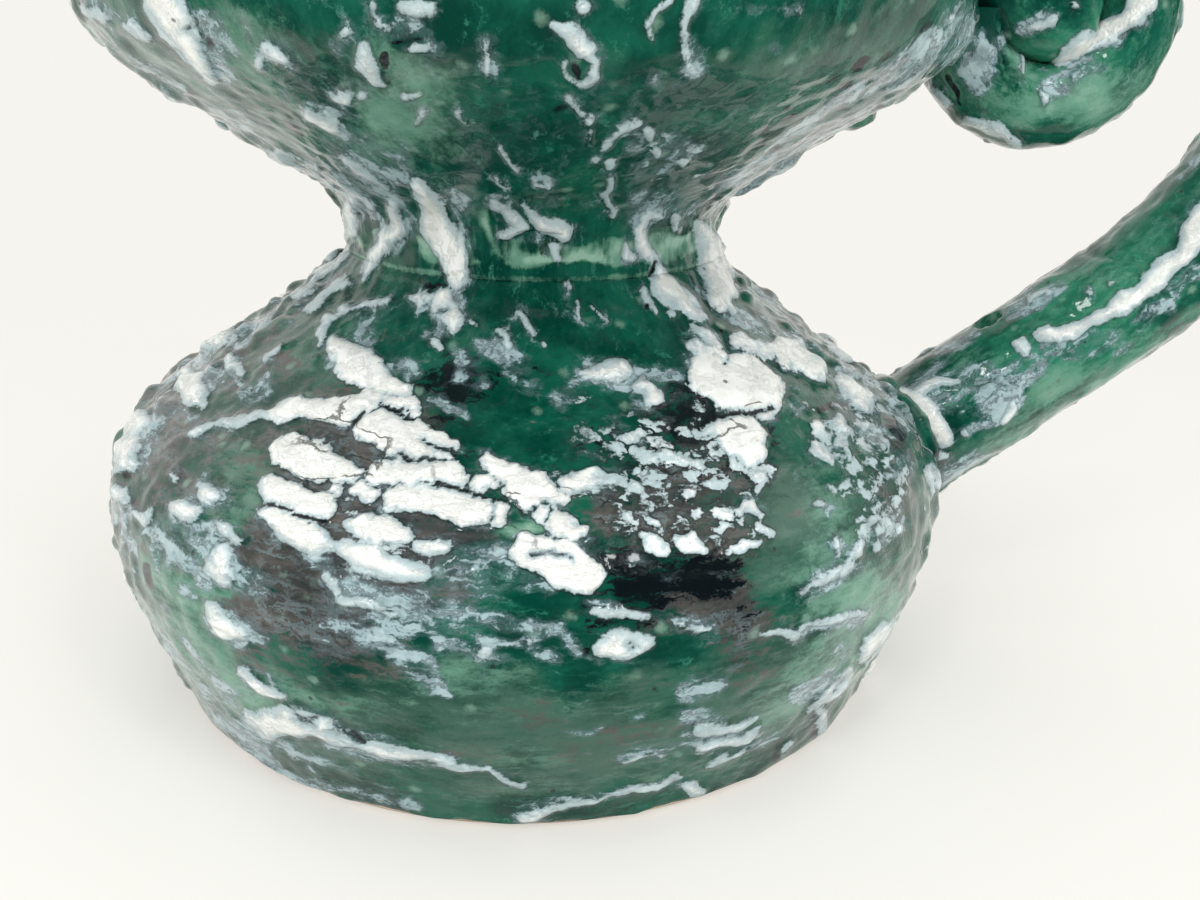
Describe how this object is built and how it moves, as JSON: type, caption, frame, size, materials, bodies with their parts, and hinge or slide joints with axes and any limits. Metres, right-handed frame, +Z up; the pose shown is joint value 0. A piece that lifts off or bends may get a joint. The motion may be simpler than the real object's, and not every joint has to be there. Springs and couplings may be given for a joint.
{
  "type": "puzzle jug",
  "caption": "Glazed stoneware puzzle jug: squat belly, pinched waist, wide bowl, pierced gallery; a hollow handle feeds a hollow rim with spouts.",
  "frame": {"origin": "middle of the flat underside of the base slab", "axes": "+Z up along the jug's axis, +X towards the handle, Y across the handle's plane"},
  "size_m": [0.3207, 0.2228, 0.2484],
  "materials": {
    "green_glaze": "thick glossy running glaze, emerald and sea green with raised white curds and dark breaks",
    "bare_clay": "bare fired stoneware under the foot, glaze up to its edge"
  },
  "bodies": {
    "root": {"base_slab": "bare_clay", "belly": "green_glaze", "waist_collar": "green_glaze", "upper_bowl": "green_glaze", "pierced_gallery": "green_glaze", "rim_trough": "green_glaze", "rim_cap": "green_glaze", "spout_left": "green_glaze", "spout_front": "green_glaze", "spout_back": "green_glaze", "handle_tube": "green_glaze", "handle_root_coil": "green_glaze", "handle_rim_coil": "green_glaze", "scroll": "green_glaze"}
  },
  "joints": []
}
